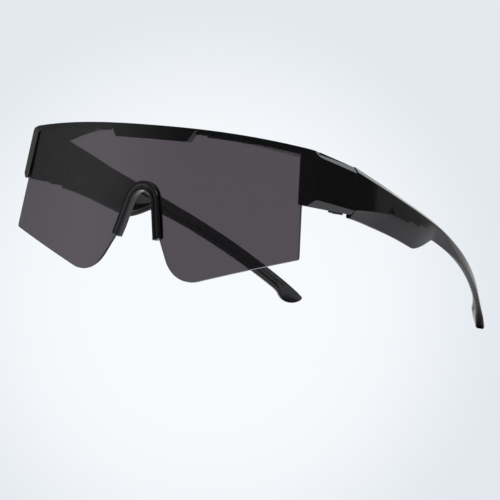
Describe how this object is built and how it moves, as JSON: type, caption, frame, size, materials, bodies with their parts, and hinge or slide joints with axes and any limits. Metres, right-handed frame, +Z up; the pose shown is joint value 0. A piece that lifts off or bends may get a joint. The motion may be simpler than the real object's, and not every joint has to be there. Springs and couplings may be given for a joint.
{
  "type": "wrap-round shield sunglasses",
  "caption": "Fit-over shield sunglasses: one flat-topped tinted lens under a slim brow bar, wide folding temples with humped, notched lower edges, and a moulded nose piece.",
  "frame": {"origin": "On the table, under the middle of the bounding box, with the temples open", "axes": "+X towards the wearer's left, +Y back from the lens towards the ears, +Z up. The glasses stand on the two rounded lens bottoms and the two temple ends"},
  "size_m": [0.1606, 0.15, 0.057],
  "materials": {
    "tinted_lens": "smooth neutral dark grey tint; polycarbonate",
    "frame_black": "smooth gloss black",
    "nose_black": "smooth gloss black, slightly soft",
    "hinge_steel": "dull steel",
    "screw_steel": "bright steel"
  },
  "bodies": {
    "front": {"shield_lens": "tinted_lens", "brow_frame": "frame_black", "nose_piece": "nose_black", "left_frame_leaf": "hinge_steel", "right_frame_leaf": "hinge_steel", "left_hinge_screw": "screw_steel", "right_hinge_screw": "screw_steel", "left_frame_leaf_screws": "screw_steel", "right_frame_leaf_screws": "screw_steel"},
    "left_arm": {"left_temple": "frame_black", "left_temple_leaf": "hinge_steel", "left_temple_leaf_screws": "screw_steel"},
    "right_arm": {"right_temple": "frame_black", "right_temple_leaf": "hinge_steel", "right_temple_leaf_screws": "screw_steel"}
  },
  "joints": [
    {"name": "left_fold", "type": "hinge", "parent": "front", "child": "left_arm", "pos_m": [0.07381, -0.04588, 0.0393], "axis": [0, 0, 1], "range_deg": [0, 87]},
    {"name": "right_fold", "type": "hinge", "parent": "front", "child": "right_arm", "pos_m": [-0.07381, -0.04588, 0.0393], "axis": [0, 0, -1], "range_deg": [0, 80]}
  ]
}
